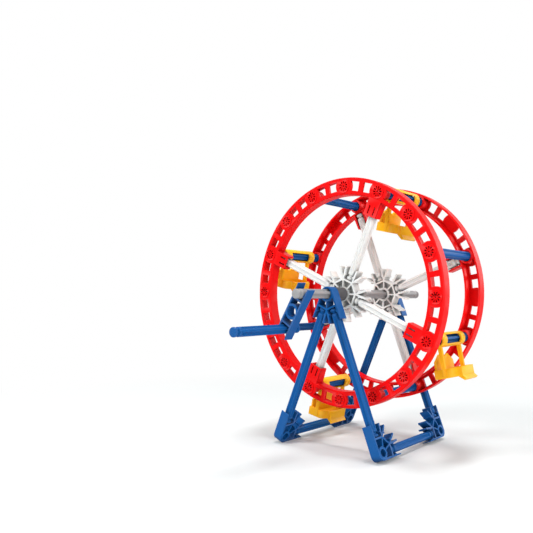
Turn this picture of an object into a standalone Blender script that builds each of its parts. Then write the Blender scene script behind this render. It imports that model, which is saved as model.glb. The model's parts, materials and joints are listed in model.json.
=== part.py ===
"""Tabletop ferris wheel of snap-together rods and connectors, turned by a hand crank.

Lengths are in metres. The origin is on the floor, under the middle of the whole toy's box. +Z is
up. The axle runs along Y with the crank at -Y. Angles on the wheel are measured from straight
up, clockwise as seen from the crank's side.
"""

import math

import bmesh
import bpy
from mathutils import Matrix, Vector
from mathutils.geometry import tessellate_polygon

# Clearance between pieces that touch
GAP = 0.0003
SPOKE_END_ROOM = 0.0004
WHEEL_PLAY = 0.0006

# For exact Booleans: faces are kept this far from meeting, and cutters run this far past
NUDGE = 0.00005
OVERRUN = 0.001

# Rods: a round head and a neck at each end, and four long grooves between them
ROD_RADIUS = 0.0018
GROOVE_RADIUS = 0.0013
GROOVE_HALF = math.radians(25)
NECK_RADIUS = 0.0012
HEAD_LENGTH = 0.0009
NECK_LENGTH = 0.0012
SHORT_ROD = 0.0326
LEG_ROD = 0.0513
AXLE_FRONT = 0.0450
AXLE_REAR = 0.0412
COLLAR_WALL = 0.00055

# Snap connectors: jaws on both sides of each rod end, round a ribbed core
ROD_SEAT = 0.0063
JAW_WALL = 0.00085
JAW_REACH = 0.0108
JAW_FLARE = 0.00035
NUB_HEIGHT = 0.00045
CONNECTOR_DEPTH = 0.0048
CONNECTOR_WEB = 0.0012
RIB = 0.0007
RING_WALL = 0.00115
CORNER_HOLE = 0.0015
SLOT_PITCH = math.radians(45)

# Rims: a web with windows, an inner and an outer flange, and a boss at every bay's end
BAYS = 16
RIM_WIDTH = 0.0068
RIM_DEPTH = 0.0047
RIM_WEB = 0.0010
RIM_FLANGE = 0.0010
BOSS_RADIUS = 0.0027
BOSS_HEIGHT = 0.00025
SOCKET_WALL = 0.0008
WINDOW_HEIGHT = 0.0037
WINDOW_FROM_BOSS = 0.0039
RUNG = 0.0021
STEM_LENGTH = 0.0065
STEM_WEB = 0.0007
STEM_TAPER = 0.00095
STEM_ROOT = 0.0006
STEM_SLOT_WIDTH = 0.0006
STEM_SLOT_LENGTH = 0.0032
STEM_SLOT_SPREAD = 0.00127
STEM_SLOT_START = 0.00075

# Stand
LEG_LEAN = math.radians(22.5)
FOOT_FLAT = 0.00035

# Crank
CRANK_THROW = 0.0156
CRANK_ARM_FROM_END = 0.0044
HANDLE_INSIDE = 0.0057
CRANK_ANGLE = math.radians(210.9)

# Cars, hanging from every other cross rod
SLEEVE_WALL = 0.00075
SLEEVE_LENGTH = 0.0184
SLEEVE_WINDOW = 0.0117
SLEEVE_WINDOW_HEIGHT = 0.0035
HANGER_SPACING = 0.0158
HANGER_WIDTH = 0.0015
HANGER_THICKNESS = 0.0012
BENCH_WIDTH = 0.0166
BENCH_REAR = 0.0042
BENCH_NOSE = 0.0058
BENCH_NOSE_WIDTH = 0.0100
BENCH_CORNER = 0.0020
BENCH_COVE = 0.0013
BENCH_WALL = 0.0009
BENCH_BOTTOM = 0.0146
BENCH_HEIGHT = 0.0035
BENCH_FLOOR = 0.0013
BACK_WIDTH = 0.0146
BACK_SHOULDER = 0.0080
BACK_PEAK = 0.0052
BACK_PEAK_SPREAD = 0.0068
BACK_NOTCH = 0.0073
LIP_DROP = 0.0018
LIP_REACH = 0.0012
LIP_THICKNESS = 0.0008
LIP_ROOT = 0.0024
LIP_CHAMFER = 0.0005

# How the wheel and its cars stand. A car has its rod's angle, its swing and its shift along it.
WHEEL_ANGLE = math.radians(0.5)
CARS = ((22.5, 11.5, 0.0004), (112.5, -13.5, -0.0004), (202.5, 11.5, -0.0010), (292.5, 11.5, -0.0003))

# Sizes that follow from those above
BORE_RADIUS = ROD_RADIUS + GAP
JAW_INNER = ROD_RADIUS + GAP
JAW_OUTER = JAW_INNER + JAW_WALL
SLOT_END = ROD_SEAT - GAP
NECK_CENTRE = HEAD_LENGTH + NECK_LENGTH / 2
RIM_INNER = ROD_SEAT + SHORT_ROD + SPOKE_END_ROOM
RIM_OUTER = RIM_INNER + RIM_WIDTH
BOSS_CIRCLE = (RIM_INNER + RIM_OUTER) / 2
RIM_FACE_Y = SHORT_ROD / 2 + GAP + RIM_WEB
SPOKE_Y = RIM_FACE_Y - STEM_WEB - GAP - ROD_RADIUS
STAND_Y = SHORT_ROD / 2 + ROD_SEAT
WHEEL_Y = STAND_Y - SPOKE_Y - CONNECTOR_DEPTH - WHEEL_PLAY
COLLAR_LENGTH = STAND_Y + WHEEL_Y - SPOKE_Y - CONNECTOR_DEPTH - 2 * GAP
LEG_SPAN = LEG_ROD + 2 * ROD_SEAT
FOOT_X = LEG_SPAN * math.sin(LEG_LEAN)
FOOT_Z = JAW_OUTER * math.cos(LEG_LEAN) + CONNECTOR_DEPTH / 2 * math.sin(LEG_LEAN) - FOOT_FLAT
AXLE_HEIGHT = FOOT_Z + LEG_SPAN * math.cos(LEG_LEAN)


def clear_scene():
    for item in list(bpy.data.objects):
        bpy.data.objects.remove(item, do_unlink=True)


def plastic(name, colour, roughness):
    material = bpy.data.materials.new(name)
    material.use_nodes = True
    shader = material.node_tree.nodes["Principled BSDF"]
    shader.inputs["Base Color"].default_value = (*colour, 1)
    shader.inputs["Roughness"].default_value = roughness
    shader.inputs["Metallic"].default_value = 0
    return material


def at(radius, angle, side=0.0):
    """A point in the plane of a wheel or a connector: out along the angle, then to its right."""
    return (
        radius * math.sin(angle) + side * math.cos(angle),
        radius * math.cos(angle) - side * math.sin(angle),
    )


def arc(radius, start, end, steps, centre=(0.0, 0.0)):
    """Points on a circle, with both ends. Angles run clockwise from the second axis."""
    points = []
    for step in range(steps + 1):
        x, z = at(radius, start + (end - start) * step / steps)
        points.append((centre[0] + x, centre[1] + z))
    return points


def circle(radius, count, centre=(0.0, 0.0)):
    return arc(radius, 0, math.tau, count, centre)[:-1]


def hole(radius, count=12, centre=(0.0, 0.0)):
    """A circle of flats that stays outside the radius, so a pin of that radius passes."""
    return circle(radius / math.cos(math.pi / count), count, centre)


def ring(mesh, points, level, axis):
    """Vertices for an outline that lies square to the axis, at the level along it."""
    place = {
        "X": lambda a, b: (level, a, b),
        "Y": lambda a, b: (a, level, b),
        "Z": lambda a, b: (a, b, level),
    }[axis]
    return [mesh.verts.new(place(a, b)) for a, b in points]


def fill(mesh, *rings):
    """Closes the first ring, leaving the others open as holes."""
    corners = [vertex for one in rings for vertex in one]
    for triangle in tessellate_polygon([[vertex.co for vertex in one] for one in rings]):
        mesh.faces.new([corners[index] for index in triangle])


def strip(mesh, first, second, closed=True):
    """Walls between two rows of vertices of equal length."""
    count = len(first)
    for index in range(count if closed else count - 1):
        after = (index + 1) % count
        mesh.faces.new((first[index], first[after], second[after], second[index]))


def finish_mesh(mesh, name, smooth_angle=math.radians(35)):
    bmesh.ops.remove_doubles(mesh, verts=mesh.verts, dist=1e-7)
    bmesh.ops.recalc_face_normals(mesh, faces=mesh.faces)
    data = bpy.data.meshes.new(name)
    mesh.to_mesh(data)
    mesh.free()
    data.shade_smooth()
    data.set_sharp_from_angle(angle=smooth_angle)
    return data


def add_prism(mesh, outline, low, high, axis, holes=(), low_pockets=(), high_pockets=(), floors=(0, 0)):
    """An extruded outline with holes through it and pockets sunk into its two faces."""
    sides = {low: (low_pockets, floors[0]), high: (high_pockets, floors[1])}
    edges = {}
    for level, (pockets, floor) in sides.items():
        edges[level] = [ring(mesh, one, level, axis) for one in (outline, *holes)]
        mouths = [ring(mesh, one, level, axis) for one in pockets]
        fill(mesh, *edges[level], *mouths)
        for mouth, pocket in zip(mouths, pockets):
            bottom = ring(mesh, pocket, floor, axis)
            strip(mesh, mouth, bottom)
            fill(mesh, bottom)
    for near, far in zip(edges[low], edges[high]):
        strip(mesh, near, far)


def prism(name, outline, low, high, axis="Y", **features):
    mesh = bmesh.new()
    add_prism(mesh, outline, low, high, axis, **features)
    return finish_mesh(mesh, name)


def prisms(name, outlines, low, high, axis="Y"):
    """Several plain extrusions that don't meet, in one mesh."""
    mesh = bmesh.new()
    for outline in outlines:
        add_prism(mesh, outline, low, high, axis)
    return finish_mesh(mesh, name)


def shaped(name, base, *steps):
    """The mesh that is left after each (operation, mesh) step has been done to the base."""
    body = bpy.data.objects.new(name, base)
    bpy.context.scene.collection.objects.link(body)
    tools = []
    for operation, data in steps:
        tool = bpy.data.objects.new(name + "_tool", data)
        bpy.context.scene.collection.objects.link(tool)
        modifier = body.modifiers.new(operation, "BOOLEAN")
        modifier.operation = operation
        modifier.solver = "EXACT"
        modifier.object = tool
        tools.append(tool)
    graph = bpy.context.evaluated_depsgraph_get()
    data = bpy.data.meshes.new_from_object(body.evaluated_get(graph))
    data.name = name
    for item in (body, *tools):
        bpy.data.objects.remove(item, do_unlink=True)
    return data


def rod_mesh(name, length):
    """A rod along Z. Its grooves face along X and Y."""
    stations = (
        (length / 2, ROD_RADIUS),
        (length / 2 - HEAD_LENGTH, ROD_RADIUS),
        (length / 2 - NECK_CENTRE, NECK_RADIUS),
        (length / 2 - HEAD_LENGTH - NECK_LENGTH, GROOVE_RADIUS),
    )
    levels = [(-height, groove) for height, groove in stations]
    levels += [(height, groove) for height, groove in reversed(stations)]
    mesh = bmesh.new()
    rows = []
    for level, groove in levels:
        land = ROD_RADIUS if groove in (ROD_RADIUS, GROOVE_RADIUS) else groove
        points = []
        for quarter in range(4):
            middle = quarter * math.pi / 2
            points.append(at(groove, middle))
            points.append(at(land, middle + GROOVE_HALF))
            points.append(at(land, middle + math.pi / 2 - GROOVE_HALF))
        rows.append(ring(mesh, points, level, "Z"))
    for lower, upper in zip(rows, rows[1:]):
        strip(mesh, lower, upper)
    fill(mesh, rows[0])
    fill(mesh, rows[-1])
    return finish_mesh(mesh, name)


def jaw(angle, side, slot_end, nub_at, flared):
    """One jaw of a slot, from its outer tip to the slot's end."""
    outer = JAW_OUTER + (JAW_FLARE if flared else 0)
    profile = (
        (JAW_REACH, outer),
        (JAW_REACH, JAW_INNER + JAW_FLARE),
        (nub_at + NUB_HEIGHT, JAW_INNER),
        (nub_at, JAW_INNER - NUB_HEIGHT),
        (nub_at - NUB_HEIGHT, JAW_INNER),
        (slot_end, JAW_INNER),
    )
    return [at(out, angle, side * across) for out, across in profile]


def connector_outline(slots, slot_end, nub_at):
    """The outline round slots whose angles rise clockwise. Neighbours are one pitch apart."""
    outline = []
    for index, angle in enumerate(slots):
        after = slots[(index + 1) % len(slots)] + (math.tau if index + 1 == len(slots) else 0)
        before = slots[index - 1] - (math.tau if index == 0 else 0)
        joined_before = angle - before < math.pi / 2
        joined_after = after - angle < math.pi / 2
        outline += jaw(angle, -1, slot_end, nub_at, joined_before)
        outline += reversed(jaw(angle, 1, slot_end, nub_at, joined_after))
        if joined_after:
            outline.append(at(JAW_OUTER / math.sin(SLOT_PITCH / 2), (angle + after) / 2))
        elif after - angle > 1.01 * math.pi:
            turn = after - angle - math.pi
            steps = round(turn / (SLOT_PITCH / 2))
            outline += arc(JAW_OUTER, angle + math.pi / 2, after - math.pi / 2, steps)
    return outline


def cell(angle, ribs, ring_radius, slot_end):
    """The pocket between a slot's end and the central ring. ribs says which sides have a rib."""
    outer = slot_end - JAW_WALL
    spread = math.tan(SLOT_PITCH / 2)
    rib = RIB / 2 / math.cos(SLOT_PITCH / 2)
    points = []
    for side, has_rib in zip((-1, 1), ribs):
        if has_rib:
            edge = [(ring_radius, ring_radius * spread - rib), (outer, outer * spread - rib)]
        else:
            edge = [(math.sqrt(ring_radius**2 - JAW_INNER**2), JAW_INNER), (outer, JAW_INNER)]
        if side > 0:
            edge.reverse()
        points += [at(out, angle, side * across) for out, across in edge]
    if not any(ribs):
        points.append(at(ring_radius, angle))
    return points


def connector_mesh(name, slots, bore, slot_end=SLOT_END, nub_at=ROD_SEAT + NECK_CENTRE):
    """A snap connector in the XZ plane. Both faces have pockets, down to a thin web."""
    around = [math.radians(slot) for slot in slots]
    cells = []
    for index, angle in enumerate(around):
        ribs = []
        for step in (-1, 1):
            other = around[(index + step) % len(around)]
            distance = abs(angle - other)
            ribs.append(0 < min(distance, math.tau - distance) < math.pi / 2
                        and math.sin((other - angle) * step) > 0)
        cells.append(cell(angle, ribs, bore + RING_WALL, slot_end))
    return prism(
        name,
        connector_outline(around, slot_end, nub_at),
        -CONNECTOR_DEPTH / 2,
        CONNECTOR_DEPTH / 2,
        holes=[hole(bore)],
        low_pockets=cells,
        high_pockets=cells,
        floors=(-CONNECTOR_WEB / 2, CONNECTOR_WEB / 2),
    )


def window(boss_angle, side):
    """One window of a bay: square at the rung, hollowed round the boss."""
    half = WINDOW_HEIGHT / 2
    beside = math.sqrt(WINDOW_FROM_BOSS**2 - half**2)
    bay = math.tau / BAYS
    far = boss_angle + side * (bay - RUNG / BOSS_CIRCLE) / 2
    return [
        at(BOSS_CIRCLE + half, boss_angle, side * beside),
        at(BOSS_CIRCLE, boss_angle, side * WINDOW_FROM_BOSS),
        at(BOSS_CIRCLE - half, boss_angle, side * beside),
        at(BOSS_CIRCLE - half, far),
        at(BOSS_CIRCLE + half, far),
    ]


def add_rim_bay(mesh, angle):
    """A boss with a half bay on each side of it. Y runs from the outer face to the wheel's middle."""
    half_bay = math.pi / BAYS
    radii = (RIM_OUTER, RIM_OUTER - RIM_FLANGE, RIM_INNER + RIM_FLANGE, RIM_INNER)
    rows = [arc(radius, angle - half_bay, angle + half_bay, 3) for radius in radii]
    openings = [window(angle, side) for side in (-1, 1)]
    boss = circle(BOSS_RADIUS, 10, at(BOSS_CIRCLE, angle))
    face = ring(mesh, rows[0] + rows[3][::-1], 0, "Y")
    face_openings = [ring(mesh, one, 0, "Y") for one in openings]
    boss_foot = ring(mesh, boss, 0, "Y")
    boss_top = ring(mesh, boss, -BOSS_HEIGHT, "Y")
    fill(mesh, face, boss_foot, *face_openings)
    strip(mesh, boss_foot, boss_top)
    fill(mesh, boss_top)
    floor = ring(mesh, rows[1] + rows[2][::-1], RIM_WEB, "Y")
    floor_openings = [ring(mesh, one, RIM_WEB, "Y") for one in openings]
    fill(mesh, floor, *floor_openings)
    for near, far in zip(face_openings, floor_openings):
        strip(mesh, near, far)
    edge = [ring(mesh, row, RIM_DEPTH, "Y") for row in rows]
    strip(mesh, ring(mesh, rows[0], 0, "Y"), edge[0], closed=False)
    strip(mesh, edge[0], edge[1], closed=False)
    strip(mesh, edge[1], ring(mesh, rows[1], RIM_WEB, "Y"), closed=False)
    strip(mesh, ring(mesh, rows[2], RIM_WEB, "Y"), edge[2], closed=False)
    strip(mesh, edge[2], edge[3], closed=False)
    strip(mesh, edge[3], ring(mesh, rows[3], 0, "Y"), closed=False)


def add_stem(mesh, angle):
    """The block that grips a spoke's outer end, before its slot is cut. It thins inwards."""
    outer = RIM_INNER + STEM_ROOT
    inner = RIM_INNER - STEM_LENGTH
    outline = [at(inner, angle, -JAW_OUTER), at(inner, angle, JAW_OUTER),
               at(outer, angle, JAW_OUTER), at(outer, angle, -JAW_OUTER)]
    near = ring(mesh, outline, NUDGE, "Y")
    far = ring(mesh, outline, RIM_DEPTH - NUDGE, "Y")
    for vertex in far[:2]:
        vertex.co.y -= STEM_TAPER
    fill(mesh, near)
    fill(mesh, far)
    strip(mesh, near, far)


def stem_cutters(angle):
    """Outlines for the spoke's slot and for the two narrow slots in the stem's face."""
    inner = RIM_INNER - STEM_LENGTH
    past = inner - OVERRUN
    stop = RIM_INNER - 2 * NUDGE
    slot = [at(past, angle, -JAW_INNER), at(past, angle, JAW_INNER),
            at(stop, angle, JAW_INNER), at(stop, angle, -JAW_INNER)]
    narrow = []
    start = inner + STEM_SLOT_START
    end = start + STEM_SLOT_LENGTH
    for side in (-1, 1):
        edges = [side * STEM_SLOT_SPREAD + half * STEM_SLOT_WIDTH / 2 for half in (-1, 1)]
        narrow.append([at(start, angle, edges[0]), at(start, angle, edges[1]),
                       at(end, angle, edges[1]), at(end, angle, edges[0])])
    return slot, narrow


def rim_mesh(name):
    bay = math.tau / BAYS
    mesh = bmesh.new()
    for index in range(BAYS):
        add_rim_bay(mesh, index * bay)
    channel = finish_mesh(mesh, name + "_channel")
    sockets = [at(BOSS_CIRCLE, index * bay) for index in range(1, BAYS, 2)]
    post_radius = BORE_RADIUS + SOCKET_WALL
    posts = prisms(name + "_posts", [circle(post_radius, 12, centre) for centre in sockets],
                   RIM_WEB / 2, RIM_DEPTH - NUDGE)
    bores = prisms(name + "_bores", [hole(BORE_RADIUS, 10, centre) for centre in sockets],
                   RIM_WEB, RIM_DEPTH + OVERRUN)
    stem_angles = [bay + quarter * math.pi / 2 for quarter in range(4)]
    mesh = bmesh.new()
    for angle in stem_angles:
        add_stem(mesh, angle)
    stems = finish_mesh(mesh, name + "_stems")
    cutters = [stem_cutters(angle) for angle in stem_angles]
    slots = prisms(name + "_slots", [slot for slot, _ in cutters], STEM_WEB, RIM_DEPTH + OVERRUN)
    narrow = prisms(name + "_narrow", [one for _, pair in cutters for one in pair],
                    -OVERRUN, STEM_WEB + OVERRUN)
    return shaped(name, channel, ("UNION", posts), ("UNION", stems), ("DIFFERENCE", bores),
                  ("DIFFERENCE", slots), ("DIFFERENCE", narrow))


def bench_outline(inset):
    """The bench seen from above: square at the back, and drawn in to a narrower nose."""
    side = BENCH_WIDTH / 2
    nose = BENCH_NOSE_WIDTH / 2
    turn_y = side - BENCH_CORNER
    cove_x = BENCH_NOSE - BENCH_WALL
    corner_x = cove_x - BENCH_COVE - BENCH_CORNER
    cove_radius = turn_y - nose
    half = [(-BENCH_REAR + inset, side - inset)]
    for step in range(4):
        turn = step * math.pi / 6
        half.append((corner_x + (BENCH_CORNER - inset) * math.sin(turn),
                     turn_y + (BENCH_CORNER - inset) * math.cos(turn)))
    for step in range(1, 3):
        turn = step * math.pi / 4
        half.append((cove_x - (BENCH_COVE + inset) * math.cos(turn),
                     turn_y - (cove_radius + inset) * math.sin(turn)))
    half.append((BENCH_NOSE - inset, nose - inset))
    return half + [(x, -y) for x, y in reversed(half)]


def box(name, x, y, z):
    """A plain block between the limits given along each axis."""
    outline = [(x[0], z[0]), (x[1], z[0]), (x[1], z[1]), (x[0], z[1])]
    return prism(name, outline, y[0], y[1])


def car_mesh(name):
    """A seat that hangs from a cross rod. Its origin is on the rod, and its footrest is at +X."""
    radius = BORE_RADIUS + SLEEVE_WALL
    sleeve = prism(name + "_sleeve", circle(radius, 16), -SLEEVE_LENGTH / 2, SLEEVE_LENGTH / 2,
                   holes=[hole(BORE_RADIUS)])
    past = radius + OVERRUN
    opening = box(name + "_opening", (-past, past), (-SLEEVE_WINDOW / 2, SLEEVE_WINDOW / 2),
                  (-SLEEVE_WINDOW_HEIGHT / 2, SLEEVE_WINDOW_HEIGHT / 2))
    top = -BENCH_BOTTOM + BENCH_HEIGHT
    bench = prism(name + "_bench", bench_outline(0), -BENCH_BOTTOM, top, axis="Z",
                  high_pockets=[bench_outline(BENCH_WALL)],
                  floors=(0, -BENCH_BOTTOM + BENCH_FLOOR))
    hangers = []
    for side in (-1, 1):
        middle = side * HANGER_SPACING / 2
        hangers.append(box(name + "_hanger", (-HANGER_WIDTH / 2, HANGER_WIDTH / 2),
                           (middle - HANGER_THICKNESS / 2, middle + HANGER_THICKNESS / 2),
                           (-BENCH_BOTTOM + BENCH_FLOOR / 2, -BORE_RADIUS - SLEEVE_WALL / 2)))
    half = BACK_WIDTH / 2
    back_foot = -BENCH_BOTTOM + BENCH_FLOOR / 2
    back = prism(name + "_back",
                 [(-half, back_foot), (half, back_foot), (half, -BACK_SHOULDER),
                  (BACK_PEAK_SPREAD / 2, -BACK_PEAK), (0, -BACK_NOTCH),
                  (-BACK_PEAK_SPREAD / 2, -BACK_PEAK), (-half, -BACK_SHOULDER)],
                 -BENCH_REAR + NUDGE, -BENCH_REAR + BENCH_WALL - NUDGE, axis="X")
    lip_top = -BENCH_BOTTOM + BENCH_FLOOR / 2
    lip_end = BENCH_NOSE + LIP_REACH
    lip_low = -BENCH_BOTTOM - LIP_DROP
    lip_half = BENCH_NOSE_WIDTH / 2 - 2 * NUDGE
    root = BENCH_NOSE - LIP_ROOT
    lip = prism(name + "_lip",
                [(root, lip_top), (root + LIP_CHAMFER, -BENCH_BOTTOM - 2 * NUDGE),
                 (lip_end - LIP_THICKNESS, lip_low), (lip_end, lip_low + LIP_CHAMFER),
                 (BENCH_NOSE - LIP_CHAMFER, lip_top)],
                -lip_half, lip_half)
    return shaped(name, sleeve, ("DIFFERENCE", opening), ("UNION", hangers[0]),
                  ("UNION", hangers[1]), ("UNION", bench), ("UNION", back), ("UNION", lip))


def pivot(name, location, parent=None):
    empty = bpy.data.objects.new(name, None)
    empty.empty_display_size = 0.01
    bpy.context.scene.collection.objects.link(empty)
    empty.parent = parent
    empty.location = location
    return empty


def piece(name, data, material, location, rotation=None, parent=None):
    """An object for one piece, placed in its parent's frame by a point and a rotation matrix."""
    item = bpy.data.objects.new(name, data)
    bpy.context.scene.collection.objects.link(item)
    item.parent = parent
    item.location = location
    if rotation is not None:
        item.rotation_euler = rotation.to_euler()
    if not data.materials:
        data.materials.append(material)
    return item


def turn_y(angle):
    return Matrix.Rotation(angle, 3, "Y")


def along_y(angle=0.0):
    """The rotation that lays a rod along Y, with its grooves turned by the angle."""
    return turn_y(angle) @ Matrix.Rotation(-math.pi / 2, 3, "X")


def build_stand(blue):
    stand = pivot("stand_origin", (0, 0, 0))
    leg = rod_mesh("leg_rod", LEG_ROD)
    base = rod_mesh("base_rod", SHORT_ROD)
    lean = math.degrees(LEG_LEAN)
    apex = connector_mesh("apex_connector", (180 - lean, 180 + lean), BORE_RADIUS)
    foot = connector_mesh("foot_connector", (0, 45, 90), CORNER_HOLE)
    reach = 2 * LEG_SPAN
    floor = piece("floor_cutter", box("floor_cutter", (-reach, reach), (-reach, reach), (-reach, 0)),
                  blue, (0, 0, 0), parent=stand)
    floor.hide_render = True
    floor.display_type = "WIRE"
    for row, row_sign in (("front", -1), ("rear", 1)):
        y = row_sign * STAND_Y
        piece("apex_connector_" + row, apex, blue, (0, y, AXLE_HEIGHT), parent=stand)
        for column, column_sign in (("left", -1), ("right", 1)):
            place = row + "_" + column
            lean_angle = -column_sign * LEG_LEAN
            middle = Vector((column_sign * FOOT_X / 2, y, (FOOT_Z + AXLE_HEIGHT) / 2))
            piece("leg_" + place, leg, blue, middle, turn_y(lean_angle), stand)
            up_leg = turn_y(lean_angle) @ Vector((0, 0, 1))
            inward = Vector((0, -row_sign, 0))
            frame = Matrix((inward, up_leg.cross(inward), up_leg)).transposed()
            holder = piece("foot_connector_" + place, foot, blue,
                           (column_sign * FOOT_X, y, FOOT_Z), frame, stand)
            flat = holder.modifiers.new("flat_on_floor", "BOOLEAN")
            flat.operation = "DIFFERENCE"
            flat.solver = "EXACT"
            flat.object = floor
    for column, column_sign in (("left", -1), ("right", 1)):
        piece("base_rod_" + column, base, blue, (column_sign * FOOT_X, 0, FOOT_Z),
              along_y(-column_sign * LEG_LEAN), stand)
    return stand


def build_wheel(red, blue, white, grey, dark_grey, yellow):
    wheel = pivot("wheel_axis", (0, WHEEL_Y, AXLE_HEIGHT))
    wheel.rotation_euler = (0, WHEEL_ANGLE, 0)
    rim = rim_mesh("wheel_rim")
    hub = connector_mesh("hub", [22.5 + 45 * index for index in range(8)], BORE_RADIUS)
    spoke = rod_mesh("spoke", SHORT_ROD)
    spoke_middle = ROD_SEAT + SHORT_ROD / 2
    turned = {"front": 0.0, "rear": math.pi}
    for row, row_sign in (("front", -1), ("rear", 1)):
        about_z = Matrix.Rotation(turned[row], 3, "Z")
        piece("wheel_rim_" + row, rim, red, (0, row_sign * RIM_FACE_Y, 0), about_z, wheel)
        piece("hub_" + row, hub, white, (0, row_sign * SPOKE_Y, 0), None, wheel)
        for index in range(4):
            angle = -row_sign * math.pi / 8 + index * math.pi / 2
            x, z = at(spoke_middle, angle)
            piece("spoke_%s_%d" % (row, index + 1), spoke, white,
                  (x, row_sign * SPOKE_Y, z), turn_y(angle), wheel)
    cross = rod_mesh("cross_rod", SHORT_ROD)
    for index in range(8):
        angle = math.radians(22.5 + 45 * index)
        x, z = at(BOSS_CIRCLE, angle)
        piece("cross_rod_%d" % (index + 1), cross, blue, (x, 0, z), along_y(angle), wheel)
    car = car_mesh("car")
    for index, (degrees, swing, shift) in enumerate(CARS):
        x, z = at(BOSS_CIRCLE, math.radians(degrees))
        piece("car_%d" % (index + 1), car, yellow, (x, shift, z),
              turn_y(math.radians(swing) - WHEEL_ANGLE), wheel)
    build_axle(wheel, blue, grey, dark_grey)
    return wheel


def build_axle(wheel, blue, grey, dark_grey):
    """The axle with the collar in front of the wheel, and the crank gripped across its end."""
    crank_angle = CRANK_ANGLE - WHEEL_ANGLE
    axle = rod_mesh("axle", AXLE_FRONT + AXLE_REAR)
    piece("axle", axle, grey, (0, (AXLE_REAR - AXLE_FRONT) / 2, 0), along_y(crank_angle), wheel)
    collar = prism("axle_collar", circle(BORE_RADIUS + COLLAR_WALL, 16), -COLLAR_LENGTH / 2,
                   COLLAR_LENGTH / 2, holes=[hole(BORE_RADIUS)])
    collar_y = -SPOKE_Y - CONNECTOR_DEPTH / 2 - GAP - COLLAR_LENGTH / 2
    piece("axle_collar", collar, dark_grey, (0, collar_y, 0), None, wheel)
    half_throw = CRANK_THROW / 2
    arm = connector_mesh("crank_arm", (0, 180), BORE_RADIUS,
                         slot_end=half_throw - ROD_RADIUS - GAP, nub_at=half_throw)
    arm_y = -AXLE_FRONT + CRANK_ARM_FROM_END
    x, z = at(half_throw, crank_angle)
    piece("crank_arm", arm, blue, (x, arm_y, z), turn_y(crank_angle), wheel)
    handle = rod_mesh("crank_handle", SHORT_ROD)
    x, z = at(CRANK_THROW, crank_angle)
    handle_y = arm_y + HANDLE_INSIDE - SHORT_ROD / 2
    piece("crank_handle", handle, blue, (x, handle_y, z), along_y(crank_angle), wheel)


def centre_over_origin(roots):
    """Moves the roots so that the middle of the toy's box is over the origin."""
    graph = bpy.context.evaluated_depsgraph_get()
    corners = []
    for item in bpy.data.objects:
        if item.type == "MESH" and not item.hide_render:
            shown = item.evaluated_get(graph)
            corners += [shown.matrix_world @ vertex.co for vertex in shown.to_mesh().vertices]
            shown.to_mesh_clear()
    for axis in (0, 1):
        values = [corner[axis] for corner in corners]
        for root in roots:
            root.location[axis] -= (min(values) + max(values)) / 2


def main():
    clear_scene()
    red = plastic("red_plastic", (0.80, 0.012, 0.012), 0.30)
    blue = plastic("blue_plastic", (0.010, 0.085, 0.30), 0.32)
    white = plastic("white_plastic", (0.82, 0.82, 0.80), 0.35)
    grey = plastic("grey_plastic", (0.30, 0.30, 0.31), 0.35)
    dark_grey = plastic("dark_grey_plastic", (0.12, 0.12, 0.125), 0.40)
    yellow = plastic("yellow_plastic", (0.95, 0.40, 0.02), 0.35)
    stand = build_stand(blue)
    wheel = build_wheel(red, blue, white, grey, dark_grey, yellow)
    centre_over_origin((stand, wheel))


main()
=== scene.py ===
# %% [markdown]
# # A ferris wheel of snap-together rods
#
# The real toy is moulded in solid-coloured plastic: red rims, white hubs and spokes, blue legs and
# connectors, a grey axle and yellow-orange cars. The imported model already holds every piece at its
# real size. This lesson gives the pieces their finish: rods with soft grooves, rims with rounded
# edges and moulded rosettes, and six plastics that share one skin.

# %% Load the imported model
import json
import math

import bmesh
import bpy
import numpy as np
from mathutils import Matrix, Vector
from mathutils.geometry import tessellate_polygon


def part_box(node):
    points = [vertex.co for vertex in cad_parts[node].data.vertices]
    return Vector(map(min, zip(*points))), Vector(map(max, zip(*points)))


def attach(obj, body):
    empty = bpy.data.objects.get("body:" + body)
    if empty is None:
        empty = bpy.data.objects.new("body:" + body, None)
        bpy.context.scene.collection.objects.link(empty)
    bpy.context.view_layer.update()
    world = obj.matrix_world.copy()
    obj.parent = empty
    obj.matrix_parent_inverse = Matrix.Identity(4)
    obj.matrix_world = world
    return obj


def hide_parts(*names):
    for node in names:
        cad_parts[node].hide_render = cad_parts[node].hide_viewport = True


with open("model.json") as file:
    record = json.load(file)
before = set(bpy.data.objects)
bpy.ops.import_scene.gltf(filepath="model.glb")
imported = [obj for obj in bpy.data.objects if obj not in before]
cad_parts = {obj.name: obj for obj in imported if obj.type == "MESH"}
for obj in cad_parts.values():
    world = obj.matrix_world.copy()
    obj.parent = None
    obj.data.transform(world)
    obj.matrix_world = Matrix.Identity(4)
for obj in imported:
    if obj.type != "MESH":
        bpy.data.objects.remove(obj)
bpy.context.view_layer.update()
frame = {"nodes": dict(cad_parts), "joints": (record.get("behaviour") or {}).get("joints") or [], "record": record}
nodes = frame["nodes"]
joints = {joint["name"]: joint for joint in frame["joints"]}
body_of = {node: body
           for body, names in frame["record"]["behaviour"]["bodies"].items()
           for node in names}
axle = Vector(joints["wheel_spin"]["pos_m"])

# %% [markdown]
# ## The camera
#
# The toy is seen from the crank's side and 35 degrees round to the right, at the height of the
# axle. The camera looks three degrees down, and a shift of the lens does the rest of the framing:
# a shift keeps the legs' slopes as they are, and more tilt would squeeze them. The camera is also
# rolled by one degree, which the legs and the line of the feet show.

# %% Camera
EYE = axle + Vector((0.14376, -0.20485, 0.00151))
YAW = math.radians(34.747)
PITCH = math.radians(-3.136)
ROLL = math.radians(0.968)
LENS = 39.768
SENSOR_WIDTH = 36
SHIFT = (-0.1930, 0.1059)
NEAREST_SEEN = 0.01

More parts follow.
